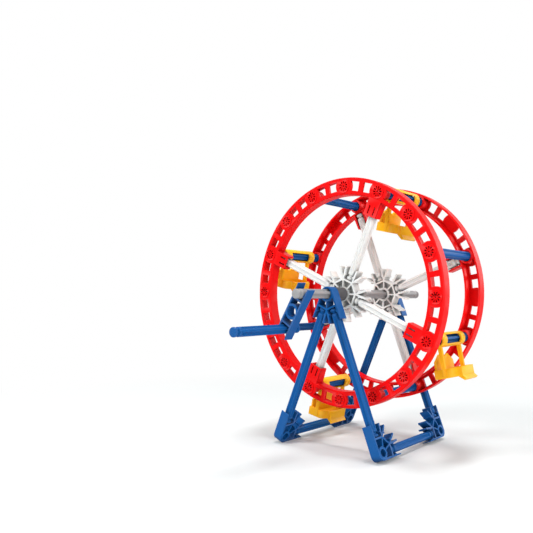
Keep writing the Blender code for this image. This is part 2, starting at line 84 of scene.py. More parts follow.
camera_data = bpy.data.cameras.new("camera")
camera_data.lens = LENS
camera_data.sensor_width = SENSOR_WIDTH
camera_data.shift_x, camera_data.shift_y = SHIFT
camera_data.clip_start = NEAREST_SEEN
camera = bpy.data.objects.new("camera", camera_data)
bpy.context.scene.collection.objects.link(camera)
camera.matrix_world = (Matrix.Translation(EYE) @ Matrix.Rotation(YAW, 4, "Z")
                       @ Matrix.Rotation(math.pi / 2 + PITCH, 4, "X")
                       @ Matrix.Rotation(ROLL, 4, "Z"))
bpy.context.scene.camera = camera
print("The camera stands", round((EYE - axle).length * 1000), "mm from the hub")

# %% [markdown]
# ## Node trees in few lines
#
# A material in Blender is a tree of nodes, and a tree takes many lines when each node and each
# link has its own. Three small helpers keep it short: one adds a node with its settings, one links
# two sockets, and one adds a Math node whose inputs may be numbers or other nodes' outputs.

# %% Helpers for nodes


def link(tree, source, target):
    tree.links.new(source, target)


def new_node(tree, kind, **settings):
    made = tree.nodes.new(kind)
    for name, value in settings.items():
        setattr(made, name, value)
    return made


def maths(tree, operation, *values):
    """The output of a Math node. Each value is a number or another node's output."""
    made = new_node(tree, "ShaderNodeMath", operation=operation)
    for value, entry in zip(values, made.inputs):
        if isinstance(value, bpy.types.NodeSocket):
            link(tree, value, entry)
        else:
            entry.default_value = value
    return made.outputs["Value"]


# %% [markdown]
# ## Floor
#
# A product like this is shown on white, with one soft shadow under it. The floor near the toy is
# a plain white surface, so it takes the shadow. Further out it fades into a glow of strength 1,
# which is white, so no horizon shows. The fade is measured from the toy itself, so it stays where
# it is from every side.

# %% Floor
FLOOR_SIZE = 3.0
FLOOR_DROP = 0.0001
FLOOR_GRAIN = 30
FLOOR_TONES = ((0.665, 0.695, 0.695), (0.680, 0.710, 0.710))
NEAR_LIFT = 0.09
FADE_START = 0.10
FADE_END = 0.24


def seen_rays(tree):
    """1 for rays that see the backdrop: straight, in a gloss or through something clear."""
    rays = new_node(tree, "ShaderNodeLightPath").outputs
    straight_or_gloss = maths(tree, "MAXIMUM", rays["Is Camera Ray"], rays["Is Glossy Ray"])
    return maths(tree, "MAXIMUM", straight_or_gloss, rays["Is Transmission Ray"])


def floor_material():
    material = bpy.data.materials.new("floor_white")
    material.use_nodes = True
    tree = material.node_tree
    tree.nodes.clear()
    place = new_node(tree, "ShaderNodeTexCoord").outputs["Object"]
    distance = new_node(tree, "ShaderNodeVectorMath", operation="LENGTH")
    link(tree, place, distance.inputs[0])
    fade = new_node(tree, "ShaderNodeMapRange", interpolation_type="SMOOTHSTEP")
    fade.inputs["From Min"].default_value = FADE_START
    fade.inputs["From Max"].default_value = FADE_END
    link(tree, distance.outputs["Value"], fade.inputs["Value"])
    grain = new_node(tree, "ShaderNodeTexNoise")
    grain.inputs["Scale"].default_value = FLOOR_GRAIN
    link(tree, place, grain.inputs["Vector"])
    tone = new_node(tree, "ShaderNodeMix", data_type="RGBA")
    tone.inputs["A"].default_value = (*FLOOR_TONES[0], 1)
    tone.inputs["B"].default_value = (*FLOOR_TONES[1], 1)
    link(tree, grain.outputs["Fac"], tone.inputs["Factor"])
    surface = new_node(tree, "ShaderNodeBsdfDiffuse")
    link(tree, tone.outputs["Result"], surface.inputs["Color"])
    seen = seen_rays(tree)
    lift = new_node(tree, "ShaderNodeEmission")
    link(tree, maths(tree, "MULTIPLY", seen, NEAR_LIFT), lift.inputs["Strength"])
    lifted = new_node(tree, "ShaderNodeAddShader")
    link(tree, surface.outputs["BSDF"], lifted.inputs[0])
    link(tree, lift.outputs["Emission"], lifted.inputs[1])
    glow = new_node(tree, "ShaderNodeEmission")
    mix = new_node(tree, "ShaderNodeMixShader")
    link(tree, maths(tree, "MULTIPLY", fade.outputs["Result"], seen), mix.inputs["Fac"])
    link(tree, lifted.outputs["Shader"], mix.inputs[1])
    link(tree, glow.outputs["Emission"], mix.inputs[2])
    out = new_node(tree, "ShaderNodeOutputMaterial")
    link(tree, mix.outputs["Shader"], out.inputs["Surface"])
    return material


floor_mesh = bpy.data.meshes.new("floor")
half_floor = FLOOR_SIZE / 2
floor_mesh.from_pydata(
    [(-half_floor, -half_floor, 0), (half_floor, -half_floor, 0),
     (half_floor, half_floor, 0), (-half_floor, half_floor, 0)], [], [(0, 1, 2, 3)])
floor = bpy.data.objects.new("floor", floor_mesh)
bpy.context.scene.collection.objects.link(floor)
floor.location.z = -FLOOR_DROP
floor_mesh.materials.append(floor_material())
print("The floor is", FLOOR_SIZE, "m wide and fades from", FADE_START, "to", FADE_END, "m")

# %% [markdown]
# ## Studio light
#
# Four round soft lamps light the toy: the key from the front left, a fill from the right, one
# from above and one from behind, which draws the edges. The room itself gives only a little light,
# but it is seen as plain white, both straight on and in the gloss of the plastic.

# %% Studio light
WORLD_STRENGTH = 0.16
# Each lamp: where it is, what it points at, its width in metres and its power in watts.
LAMPS = {
    "key_light": ((-0.30, -0.45, 0.46), (0, 0, 0.06), 0.26, 2.8),
    "fill_light": ((0.50, -0.30, 0.20), (0, 0, 0.06), 0.40, 2.1),
    "top_light": ((0.00, 0.05, 0.75), (0, 0, 0.05), 0.24, 3.7),
    "rim_light": ((0.30, 0.55, 0.30), (0, 0, 0.06), 0.40, 1.6),
}


def area_light(name, location, target, size, power):
    data = bpy.data.lights.new(name, "AREA")
    data.shape = "DISK"
    data.size = size
    data.energy = power
    lamp = bpy.data.objects.new(name, data)
    bpy.context.scene.collection.objects.link(lamp)
    lamp.location = location
    towards = Vector(target) - Vector(location)
    lamp.rotation_euler = towards.to_track_quat("-Z", "Y").to_euler()


def white_world():
    world = bpy.data.worlds.new("studio")
    world.use_nodes = True
    tree = world.node_tree
    tree.nodes.clear()
    room = new_node(tree, "ShaderNodeBackground")
    room.inputs["Strength"].default_value = WORLD_STRENGTH
    backdrop = new_node(tree, "ShaderNodeBackground")
    mix = new_node(tree, "ShaderNodeMixShader")
    link(tree, seen_rays(tree), mix.inputs["Fac"])
    link(tree, room.outputs["Background"], mix.inputs[1])
    link(tree, backdrop.outputs["Background"], mix.inputs[2])
    out = new_node(tree, "ShaderNodeOutputWorld")
    link(tree, mix.outputs["Shader"], out.inputs["Surface"])
    for node in (room, backdrop):
        node.inputs["Color"].default_value = (1, 1, 1, 1)
    return world


bpy.context.scene.world = white_world()
for name, lamp_settings in LAMPS.items():
    area_light(name, *lamp_settings)
bpy.context.scene.view_settings.view_transform = "Standard"
print("Lamps:", ", ".join(LAMPS))

# %% [markdown]
# ## One skin for six plastics
#
# Moulded plastic is never one flat colour. Its tone drifts a little with the flow of the melt,
# its gloss is patchy where the mould was polished, and its edges catch light and get rubbed. Shade
# is also painted into the colour: the more a spot is closed in by nearby surfaces, the darker it is
# made, so deep pockets and narrow channels come out darker. All pieces share these effects, so they
# are one node group with named inputs. Each colour then sets its own strengths.

# %% The shared skin
# Painted shade: how far it looks for surfaces that close a spot in, and how many rays it sends.
PAINTED_SHADE_REACH = 0.0035
PAINTED_SHADE_SAMPLES = 6
MELT = {"Scale": 90, "Detail": 3, "Distortion": 0.6}
SCUFF = {"Scale": 500, "Detail": 4}
EDGE_POINTINESS = (0.52, 0.62)
SKIN_DEFAULTS = {"Flow": 0.05, "Gloss": 0.3, "Gloss drift": 0.08, "Rubbed edge": 0.1,
                 "Painted shade": 0.3}


def group_socket(group, name, in_out, kind="NodeSocketFloat", value=None):
    made = group.interface.new_socket(name=name, in_out=in_out, socket_type=kind)
    if value is not None:
        made.default_value = value


def noise(tree, place, settings):
    made = new_node(tree, "ShaderNodeTexNoise")
    for name, value in settings.items():
        made.inputs[name].default_value = value
    link(tree, place, made.inputs["Vector"])
    return made.outputs["Fac"]


def add_skin_sockets(group):
    group_socket(group, "Colour", "INPUT", "NodeSocketColor", (0.8, 0.8, 0.8, 1))
    for name, value in SKIN_DEFAULTS.items():
        group_socket(group, name, "INPUT", value=value)
    group_socket(group, "Colour", "OUTPUT", "NodeSocketColor")
    group_socket(group, "Roughness", "OUTPUT")
    group_socket(group, "Height", "OUTPUT")


def rubbed_edges(group, scuff, strength):
    """A mask for the edges that stick out, broken up by the scuffs."""
    edge = new_node(group, "ShaderNodeMapRange")
    edge.inputs["From Min"].default_value = EDGE_POINTINESS[0]
    edge.inputs["From Max"].default_value = EDGE_POINTINESS[1]
    shape = new_node(group, "ShaderNodeNewGeometry")
    link(group, shape.outputs["Pointiness"], edge.inputs["Value"])
    worn = maths(group, "MULTIPLY", edge.outputs["Result"], scuff)
    return maths(group, "MULTIPLY", worn, strength)


def skin_with_painted_shade():
    group = bpy.data.node_groups.new("skin_with_painted_shade", "ShaderNodeTree")
    add_skin_sockets(group)
    given = new_node(group, "NodeGroupInput").outputs
    result = new_node(group, "NodeGroupOutput").inputs
    place = new_node(group, "ShaderNodeTexCoord").outputs["Object"]
    melt = maths(group, "SUBTRACT", noise(group, place, MELT), 0.5)
    scuff = noise(group, place, SCUFF)
    # Painted shade: the colour is darkened where nearby surfaces close the spot in, so pockets and channels come
    # out darker.
    open_sky = new_node(group, "ShaderNodeAmbientOcclusion", samples=PAINTED_SHADE_SAMPLES)
    open_sky.inputs["Distance"].default_value = PAINTED_SHADE_REACH
    closed = maths(group, "SUBTRACT", 1.0, open_sky.outputs["AO"])
    tone = maths(group, "SUBTRACT", maths(group, "MULTIPLY_ADD", melt, given["Flow"], 1.0),
                 maths(group, "MULTIPLY", closed, given["Painted shade"]))
    tinted = new_node(group, "ShaderNodeVectorMath", operation="SCALE")
    link(group, given["Colour"], tinted.inputs[0])
    link(group, tone, tinted.inputs["Scale"])
    paler = new_node(group, "ShaderNodeMix", data_type="RGBA")
    paler.inputs["B"].default_value = (1, 1, 1, 1)
    link(group, rubbed_edges(group, scuff, given["Rubbed edge"]), paler.inputs["Factor"])
    link(group, tinted.outputs["Vector"], paler.inputs["A"])
    link(group, paler.outputs["Result"], result["Colour"])
    gloss = maths(group, "MULTIPLY_ADD", melt, given["Gloss drift"], given["Gloss"])
    link(group, gloss, result["Roughness"])
    link(group, scuff, result["Height"])
    return group


skin = skin_with_painted_shade()
print("The skin takes", len(skin.nodes), "nodes")

# %% [markdown]
# ## From the skin to a plastic
#
# A plastic is the skin with its own strengths, a very fine grain as a bump, and a low specular
# level, since the toy is seen against white and would look washed out with more. Some plastics
# also let light sink in a little, which softens their shadows.

# %% A plastic
FLOW = 0.10
GLOSS_DRIFT = 0.10
SPECULAR = 0.07
GRAIN = 0.000004
GRAIN_STRENGTH = 0.35
SINK_SHARE = 0.35
SINK_RADII = (1.0, 0.9, 0.8)


def plastic(name, colour, gloss, painted_shade=0.4, rub=0.1, depth=0.0):
    """A moulded plastic. depth is how far light sinks in before it comes out, in metres."""
    material = bpy.data.materials.new(name)
    material.use_nodes = True
    tree = material.node_tree
    shader = tree.nodes["Principled BSDF"]
    coat = tree.nodes.new("ShaderNodeGroup")
    coat.node_tree = skin
    # painted_shade is how strongly pockets and channels are darkened by shade painted into the colour.
    strengths = {"Colour": (*colour, 1), "Flow": FLOW, "Gloss": gloss, "Gloss drift": GLOSS_DRIFT,
                 "Rubbed edge": rub, "Painted shade": painted_shade}
    for entry, value in strengths.items():
        coat.inputs[entry].default_value = value
    link(tree, coat.outputs["Colour"], shader.inputs["Base Color"])
    link(tree, coat.outputs["Roughness"], shader.inputs["Roughness"])
    bump = new_node(tree, "ShaderNodeBump")
    bump.inputs["Strength"].default_value = GRAIN_STRENGTH
    bump.inputs["Distance"].default_value = GRAIN
    link(tree, coat.outputs["Height"], bump.inputs["Height"])
    link(tree, bump.outputs["Normal"], shader.inputs["Normal"])
    shader.inputs["Specular IOR Level"].default_value = SPECULAR
    if depth:
        shader.inputs["Subsurface Weight"].default_value = SINK_SHARE
        shader.inputs["Subsurface Radius"].default_value = SINK_RADII
        shader.inputs["Subsurface Scale"].default_value = depth
    return material


# %% [markdown]
# ## The five colours and the collar's dark grey
#
# The colours are set from the lit, unshadowed faces of each kind of piece. The red is nearly pure,
# so it goes dark quickly in shade. The white and the yellow let a little light through, which
# softens the shadows in their pockets.

# %% Plastics by slot
# Each plastic's painted_shade value sets how dark the shade painted into its pockets and channels is.
plastics = {
    "red_plastic": plastic("red_plastic", (0.90, 0.004, 0.005), 0.36, painted_shade=0.52, rub=0.08),
    "blue_plastic": plastic("blue_plastic", (0.006, 0.098, 0.335), 0.40, painted_shade=0.62),
    "white_plastic": plastic("white_plastic", (0.83, 0.83, 0.81), 0.35,
                             painted_shade=0.72, rub=0.0, depth=0.0002),
    "grey_plastic": plastic("grey_plastic", (0.34, 0.34, 0.345), 0.30, rub=0.15),
    "dark_grey_plastic": plastic("dark_grey_plastic", (0.09, 0.09, 0.095), 0.38),
    "yellow_plastic": plastic("yellow_plastic", (1.00, 0.49, 0.012), 0.34,
                              painted_shade=0.3, rub=0.08, depth=0.0004),
}
slot_of = {entry["node"]: entry["material_slot"] for entry in frame["record"]["subparts"]}
print("Pieces by plastic:", {name: list(slot_of.values()).count(name) for name in plastics})

# %% [markdown]
# ## Softened edges
#
# A mould leaves a small round on every edge, and that round is what catches the light. The packed
# solids have sharp edges, so each one gets a narrow bevel as a modifier. Its corners are first
# welded, because the solids arrive as loose facets. The shape and size of the piece stay the same.

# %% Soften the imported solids
EDGE_ROUND = 0.00013
SHARP = math.radians(32)
WELD_REACH = 0.000001
FLAT = math.radians(0.5)


def round_edges(item, width, segments):
    bevel = item.modifiers.new("edge_round", "BEVEL")
    bevel.width = width
    bevel.segments = segments
    bevel.limit_method = "ANGLE"
    bevel.angle_limit = SHARP
    bevel.harden_normals = True


def soften(item, width, segments=2):
    item.data.shade_smooth()
    weld = item.modifiers.new("weld", "WELD")
    weld.merge_threshold = WELD_REACH
    flat = item.modifiers.new("flat_faces", "DECIMATE")
    flat.decimate_type = "DISSOLVE"
    flat.angle_limit = FLAT
    round_edges(item, width, segments)


for name, node in nodes.items():
    node.data.materials.clear()
    node.data.materials.append(plastics[slot_of[name]])
    soften(node, EDGE_ROUND)
print("Softened", len(nodes), "solids")

# %% [markdown]
# ## Mesh helpers
#
# Rods, connectors, the collar and the rims are built again with more detail than the packed
# solids have. All of them are rows of points joined by strips, so three small helpers are enough:
# one makes a row of vertices, one walls two rows together, and one closes a flat outline that may
# have holes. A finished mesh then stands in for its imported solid, and rides on the same body.

# %% Rows, strips and caps
SAME_POINT = 1e-7


def at(radius, angle, side=0.0):
    """A point out from the centre, clockwise from straight up, and then to its right."""
    return (radius * math.sin(angle) + side * math.cos(angle),
            radius * math.cos(angle) - side * math.sin(angle))


def arc(radius, start, end, steps, centre=(0.0, 0.0)):
    points = []
    for step in range(steps + 1):
        x, z = at(radius, start + (end - start) * step / steps)
        points.append((centre[0] + x, centre[1] + z))
    return points


def circle(radius, count, centre=(0.0, 0.0)):
    return arc(radius, 0, math.tau, count, centre)[:-1]


def row_at(mesh, points, y):
    return [mesh.verts.new((x, y, z)) for x, z in points]


def wall(mesh, first, second, closed=True):
    count = len(first)
    for index in range(count if closed else count - 1):
        after = (index + 1) % count
        mesh.faces.new((first[index], first[after], second[after], second[index]))


def cap(mesh, *rings):
    corners = [vertex for ring in rings for vertex in ring]
    for triangle in tessellate_polygon([[vertex.co for vertex in ring] for ring in rings]):
        mesh.faces.new([corners[index] for index in triangle])


def finished(mesh, name):
    bmesh.ops.remove_doubles(mesh, verts=mesh.verts, dist=SAME_POINT)
    bmesh.ops.recalc_face_normals(mesh, faces=mesh.faces)
    data = bpy.data.meshes.new(name)
    mesh.to_mesh(data)
    mesh.free()
    data.shade_smooth()
    data.set_sharp_from_angle(angle=SHARP)
    return data


def stand_in(name, data, node, matrix):
    """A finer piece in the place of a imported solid, riding on the same body."""
    item = bpy.data.objects.new(name, data)
    bpy.context.scene.collection.objects.link(item)
    item.matrix_world = matrix
    data.materials.append(plastics[slot_of[node]])
    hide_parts(node)
    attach(item, body_of[node])
    return item


# %% [markdown]
# ## Where each rod lies
#
# A rod has a round head at each end, a neck that the jaws snap round, and four grooves that run
# between the necks. Its place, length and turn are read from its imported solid: it lies along the
# line on which its points spread most, and a point between the necks that lies well inside its
# radius is in a groove.

# %% Find every rod
NECK_END = 0.0021
IN_GROOVE = 0.8
SLACK = 0.00001


def rod_place(node):
    """A rod's matrix, with its own Z along it and X into a groove, then its length and radius."""
    points = np.array([tuple(vertex.co) for vertex in node.data.vertices])
    centre = (points.min(axis=0) + points.max(axis=0)) / 2
    spread = points - centre
    along = np.linalg.svd(spread, full_matrices=False)[2][0]
    reach = spread @ along
    length = reach.max() - reach.min()
    across = spread - np.outer(reach, along)
    radii = np.linalg.norm(across, axis=1)
    between_necks = np.abs(reach) < length / 2 - NECK_END + SLACK
    groove = across[between_necks & (radii < radii.max() * IN_GROOVE)][0]
    groove = groove / np.linalg.norm(groove)
    side = np.cross(along, groove)
    turn = Matrix((groove, side, along)).transposed()
    return Matrix.Translation(Vector(centre)) @ turn.to_4x4(), length, radii.max()


rods = [name for name in nodes if "rod" in name or name.startswith(("leg_", "spoke_"))
        or name in ("axle", "crank_handle")]
rod_places = {name: rod_place(nodes[name]) for name in rods}
print("Rod lengths in mm:", sorted({round(1000 * place[1], 1) for place in rod_places.values()}))

# %% [markdown]
# ## Rods with soft grooves
#
# In section a rod is a circle with four soft dips. The dips fade out towards the necks, so the
# section is worked out at each station along the rod and the sections are joined by strips. A
# groove cut by a boolean would end in a hard wall, and the moulded one runs out softly.

# %% Build every rod
HEAD = 0.0009
NECK_SHARE = 0.667
NECK_FLAT = 0.00022
NECK_RISE = 0.00006
SHOULDER = 0.0001
GROOVE_DEPTH = 0.00060
GROOVE_HALF = math.radians(27)
GROOVE_SHARPNESS = 3
GROOVE_FADE = ((0.0009, 0), (0.0013, 0.6), (0.0018, 1))
CHAMFER = 0.00022
# A pair goes along the rod first, and then in from its surface.
CHAMFER_BULGE = (CHAMFER * 0.35, CHAMFER * 0.3)
HEAD_BREAK = (CHAMFER * 0.6, CHAMFER * 0.5)
SHOULDER_DROP = CHAMFER * 0.6
ROUND_STEPS = 48


def groove_dip(angle):
    """How deep the section dips at this angle, from 0 on a land to 1 in the middle of a groove."""
    off = (angle + math.pi / 4) % (math.pi / 2) - math.pi / 4
    if abs(off) >= GROOVE_HALF:
        return 0.0
    return 0.5 + 0.5 * math.cos(math.pi * (abs(off) / GROOVE_HALF) ** GROOVE_SHARPNESS)


def rod_stations(length, radius):
    """(distance from the middle, radius, share of the groove's depth) from end to end."""
    neck = NECK_SHARE * radius
    middle = (HEAD + NECK_END) / 2
    end = [(0, radius - CHAMFER, 0), (CHAMFER_BULGE[0], radius - CHAMFER_BULGE[1], 0),
           (CHAMFER, radius, 0), (HEAD - HEAD_BREAK[0], radius, 0),
           (HEAD, radius - HEAD_BREAK[1], 0), (middle - NECK_FLAT, neck + NECK_RISE, 0),
           (middle, neck, 0), (middle + NECK_FLAT, neck + NECK_RISE, 0),
           (NECK_END - SHOULDER, radius - SHOULDER_DROP, 0), (NECK_END + SHOULDER, radius, 0)]
    end += [(NECK_END + past, radius, share) for past, share in GROOVE_FADE]
    low = [(station - length / 2, size, dip) for station, size, dip in end]
    high = [(-station, size, dip) for station, size, dip in reversed(low)]
    return low + high


def rod_data(name, length, radius):
    mesh = bmesh.new()
    rows = []
    for station, size, dip in rod_stations(length, radius):
        points = []
        for step in range(ROUND_STEPS):
            angle = math.tau * step / ROUND_STEPS
            reach = size - GROOVE_DEPTH * dip * groove_dip(angle)
            points.append((reach * math.cos(angle), reach * math.sin(angle), station))
        rows.append([mesh.verts.new(point) for point in points])
    for lower, upper in zip(rows, rows[1:]):
        wall(mesh, lower, upper)
    mesh.faces.new(rows[0])
    mesh.faces.new(rows[-1])
    return finished(mesh, name)


for name, (place, length, radius) in rod_places.items():
    stand_in(name + "_grooved", rod_data(name + "_grooved", length, radius), name, place)
print("Built", len(rod_places), "rods, each", round(2000 * radius, 1), "mm thick")

# %% [markdown]
# ## Connectors
#
# Hubs, feet, apexes and the crank's arm are one family. Each is a flat plate of thin walls: a ring
# round the bore, ribs out from it, and a pair of jaws for every rod. A nub on each jaw snaps into
# the rod's neck. One function draws a jaw, and another walks round all the slots of a connector
# and joins their jaws into one outline.

# %% Outline of a connector
JAW_INNER = 0.0021
JAW_WALL = 0.00074
JAW_OUTER = JAW_INNER + JAW_WALL
JAW_FLARE = 0.00035
NUB = 0.00045
ROD_SEAT = 0.0063
NUB_AT = ROD_SEAT + (HEAD + NECK_END) / 2
TIP_CUT = 0.0002
SLOT_PITCH = math.radians(45)
ARC_STEP = SLOT_PITCH / 6
BACK_ARC_FROM = 1.01 * math.pi


def jaw(angle, side, slot_end, nub_at, flared, reach):
    """One jaw of a slot, from its outer tip to the slot's end."""
    outer = JAW_OUTER + (JAW_FLARE if flared else 0)
    profile = [(reach - TIP_CUT, outer), (reach, outer - TIP_CUT),
               (reach - TIP_CUT / 2, JAW_INNER + JAW_FLARE),
               (nub_at + NUB, JAW_INNER), (nub_at + NUB / 3, JAW_INNER - NUB),
               (nub_at - NUB / 3, JAW_INNER - NUB), (nub_at - NUB, JAW_INNER),
               (slot_end, JAW_INNER)]
    return [at(out, angle, side * across) for out, across in profile]


def connector_outline(slots, slot_end, nub_at, reach):
    """Round all the slots, clockwise. Neighbours one pitch apart share the notch between them,
    and slots more than half a turn apart are joined by an arc round the back."""
    outline = []
    for index, angle in enumerate(slots):
        after = slots[(index + 1) % len(slots)] + (math.tau if index + 1 == len(slots) else 0)
        before = slots[index - 1] - (math.tau if index == 0 else 0)
        joined_before, joined_after = angle - before < math.pi / 2, after - angle < math.pi / 2
        outline += jaw(angle, -1, slot_end, nub_at, joined_before, reach)
        outline += reversed(jaw(angle, 1, slot_end, nub_at, joined_after, reach))
        if joined_after:
            outline.append(at(JAW_OUTER / math.sin(SLOT_PITCH / 2), (angle + after) / 2))
        elif after - angle > BACK_ARC_FROM:
            outline += arc(JAW_OUTER, angle + math.pi / 2, after - math.pi / 2,
                           round((after - angle - math.pi) / ARC_STEP))
    return outline


print("A rod's neck sits", round(1000 * NUB_AT, 1), "mm from a connector's centre")

# %% [markdown]
# ## Cells
#
# Between a slot's end, its ribs and the ring an opening is left, a cell, which saves plastic. Its
# side is slanted where there is a rib and straight where there is none, and its inner side follows
# the ring.

# %% Outline of a cell
RIB = 0.00062
RING_STEPS = 6


def cell(angle, ribs, ring_radius, slot_end):
    """The opening between a slot's end and the ring. ribs says which of its sides have a rib."""
    outer = slot_end - JAW_WALL
    spread = math.tan(SLOT_PITCH / 2)
    rib = RIB / 2 / math.cos(SLOT_PITCH / 2)
    near, far = [], []
    for side, has_rib in zip((-1, 1), ribs):
        if has_rib:
            inner = ring_radius * math.cos(SLOT_PITCH / 2)
            edge = [(inner, inner * spread - rib), (outer, outer * spread - rib)]
        else:
            edge = [(math.sqrt(ring_radius ** 2 - JAW_INNER ** 2), JAW_INNER), (outer, JAW_INNER)]
        near.append((edge[0][0], side * edge[0][1]))
        far.append((edge[1][0], side * edge[1][1]))
    turns = [math.atan2(across, out) for out, across in near]
    ring_side = [(ring_radius * math.cos(turn), ring_radius * math.sin(turn))
                 for turn in (turns[1] + (turns[0] - turns[1]) * step / RING_STEPS
                              for step in range(1, RING_STEPS))]
    corners = [near[0], far[0], far[1], near[1], *ring_side]
    return [at(out, angle, across) for out, across in corners]


# %% [markdown]
# ## From an outline to a plate
#
# The plate is the outline with its bore and its cells, given a thickness. In the feet, the apexes
# and the crank's arm the cells go right through, so light shows in them. A hub's cells have a thin
# floor in the middle, so each side gets its own pockets.

# %% The plate of a connector
PLATE = 0.0040
RING_WALL = 0.00095
SLOT_END = 0.0060
REACH = 0.0110
BORE_STEPS = 40


def connector_data(name, slots, bore, slot_end=SLOT_END, nub_at=NUB_AT, reach=REACH, web=0.0):
    """web is the thickness of a floor in the middle of the cells, or 0 where they go through."""
    around = [math.radians(slot) for slot in slots]
    cells = []
    for index, angle in enumerate(around):
        ribs = []
        for step in (-1, 1):
            other = around[(index + step) % len(around)]
            distance = abs(angle - other)
            ribs.append(0 < min(distance, math.tau - distance) < math.pi / 2
                        and math.sin((other - angle) * step) > 0)
        cells.append(cell(angle, ribs, bore + RING_WALL, slot_end))
    outline = connector_outline(around, slot_end, nub_at, reach)
    through = [circle(bore, BORE_STEPS)] + ([] if web else cells)
    mesh = bmesh.new()
    edges = []
    for side in (-1, 1):
        rings = [row_at(mesh, one, side * PLATE / 2) for one in (outline, *through)]
        mouths = [row_at(mesh, one, side * PLATE / 2) for one in (cells if web else [])]
        cap(mesh, *rings, *mouths)
        for mouth, one in zip(mouths, cells):
            floor_row = row_at(mesh, one, side * web / 2)
            wall(mesh, mouth, floor_row)
            cap(mesh, floor_row)
        edges.append(rings)
    for near, far in zip(*edges):
        wall(mesh, near, far)
    return finished(mesh, name)


# %% [markdown]
# ## Where the connectors go
#
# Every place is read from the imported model. Hubs and apexes sit on the axle, and the hubs are
# turned with the wheel. A foot's corner is where its base rod and its leg meet. The crank's arm
# lies half-way between the axle and the handle, with a slot for each of them.

# %% Put the connectors in their places
HUB_SLOTS = [22.5 + 45 * index for index in range(8)]
HUB_WEB = 0.0006
APEX_SLOTS = (157.5, 202.5)
APEX_REACH = 0.0113
FOOT_SLOTS = (0, 45, 90)
FOOT_BORE = 0.0015
ARM_SLOTS = (0, 180)
FIRST_CAR_AT = math.pi / 8


def middle_of(name):
    lowest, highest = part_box(name)
    return (lowest + highest) / 2


def put_connector(node, data, matrix):
    soften(stand_in(node + "_plate", data, node, matrix), EDGE_ROUND, segments=3)


first_car = Vector(joints["car_upper_swing"]["pos_m"]) - axle
wheel_turn = math.atan2(*first_car.xz) - FIRST_CAR_AT
for end in ("front", "rear"):
    hub_place = Matrix.Translation((axle.x, middle_of("hub_" + end).y, axle.z))
    put_connector("hub_" + end, connector_data("hub_plate", HUB_SLOTS, JAW_INNER, web=HUB_WEB),
                  hub_place @ Matrix.Rotation(wheel_turn, 4, "Y"))
    apex_place = Matrix.Translation((axle.x, middle_of("apex_connector_" + end).y, axle.z))
    put_connector("apex_connector_" + end,
                  connector_data("apex_plate", APEX_SLOTS, JAW_INNER, reach=APEX_REACH),
                  apex_place)
    for side in ("left", "right"):
        which = end + "_" + side
        corner = middle_of("base_rod_" + side)
        corner.y = middle_of("leg_" + which).y
        up_leg = (middle_of("leg_" + which) - corner).normalized()
        inward = Vector((0, 1 if end == "front" else -1, 0))
        turn = Matrix((inward, up_leg.cross(inward), up_leg)).transposed()
        put_connector("foot_connector_" + which,
                      connector_data("foot_plate", FOOT_SLOTS, FOOT_BORE),
                      Matrix.Translation(corner) @ turn.to_4x4())

handle = middle_of("crank_handle") - axle
crank_turn = math.atan2(handle.x, handle.z)
half_throw = math.hypot(handle.x, handle.z) / 2
arm_middle = axle + handle / 2
arm_middle.y = middle_of("crank_arm").y
put_connector("crank_arm",
              connector_data("arm_plate", ARM_SLOTS, JAW_INNER,
                             slot_end=half_throw - JAW_INNER, nub_at=half_throw),
              Matrix.Translation(arm_middle) @ Matrix.Rotation(crank_turn, 4, "Y"))
print("The wheel is turned by", round(math.degrees(wheel_turn), 2), "degrees, and the crank by",
      round(math.degrees(crank_turn), 1), "with a throw of", round(2000 * half_throw, 1), "mm")

# %% [markdown]
# ## Collar
#
# The collar is a short tube that keeps the front hub away from the apex. It fills the room between
# their two faces, and both of its edges are chamfered.

# %% Turn the collar
COLLAR_RADIUS = 0.00265
COLLAR_CHAMFER = 0.00025
COLLAR_PLAY = 0.00015


def collar_data(name, start, stop):
    profile = [(JAW_INNER, start), (COLLAR_RADIUS - COLLAR_CHAMFER, start),
               (COLLAR_RADIUS, start + COLLAR_CHAMFER), (COLLAR_RADIUS, stop - COLLAR_CHAMFER),
               (COLLAR_RADIUS - COLLAR_CHAMFER, stop), (JAW_INNER, stop)]
    mesh = bmesh.new()
    rows = [row_at(mesh, circle(radius, ROUND_STEPS), y) for radius, y in profile]
    for index, row in enumerate(rows):
        wall(mesh, row, rows[(index + 1) % len(rows)])
    return finished(mesh, name)


apex_face = middle_of("apex_connector_front").y + PLATE / 2 + COLLAR_PLAY
hub_face = middle_of("hub_front").y - PLATE / 2 - COLLAR_PLAY
stand_in("axle_collar_turned", collar_data("axle_collar_turned", apex_face, hub_face),
         "axle_collar", Matrix.Translation((axle.x, 0, axle.z)))
print("The collar is", round(1000 * (hub_face - apex_face), 1), "mm long")

# %% [markdown]
# ## Rims
#
# A rim is a shallow channel bent into a ring. Its outer face is a web with a round boss in the
# middle of every bay and a window on both sides of it, and a flange stands along both edges. A bay
# repeats round the ring, so one function makes a bay and a loop turns it. Sockets for the cross
# rods and the stems that grip the spokes are added as closed solids that run into the channel.

# %% Sizes of a rim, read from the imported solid
RIM_WIDTH = 0.0068
BOSS_HEIGHT = 0.00025
rim_low, rim_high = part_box("wheel_rim_front")
RIM_OUTER = (rim_high.x - rim_low.x) / 2
RIM_INNER = RIM_OUTER - RIM_WIDTH
BOSS_CIRCLE = (RIM_OUTER + RIM_INNER) / 2
RIM_DEPTH = rim_high.y - rim_low.y - BOSS_HEIGHT
front_face_y = rim_low.y + BOSS_HEIGHT
rear_face_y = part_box("wheel_rim_rear")[1].y - BOSS_HEIGHT
print("A rim is", round(2000 * RIM_OUTER, 1), "mm across and", round(1000 * RIM_DEPTH, 1), "deep")

